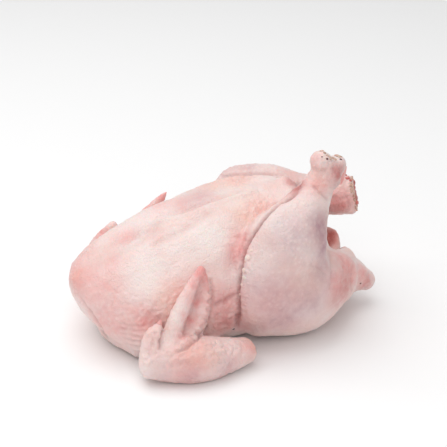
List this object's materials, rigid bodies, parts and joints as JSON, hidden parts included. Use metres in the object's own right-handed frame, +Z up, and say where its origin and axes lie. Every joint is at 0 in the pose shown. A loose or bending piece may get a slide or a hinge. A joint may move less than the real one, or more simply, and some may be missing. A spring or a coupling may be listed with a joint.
{
  "type": "whole raw chicken",
  "caption": "Whole dressed raw chicken lying on its back, breast up, with drumsticks, folded wings, tail and an open body cavity.",
  "frame": {"origin": "centre of the bird's box on the surface that it rests on", "axes": "+X from the neck end to the tail, +Y to the bird's left side, +Z up through the breast"},
  "size_m": [0.2566, 0.2028, 0.1518],
  "materials": {
    "skin": "moist, satin, finely pimpled"
  },
  "bodies": {
    "root": {"whole_raw_chicken": "skin"}
  },
  "joints": []
}
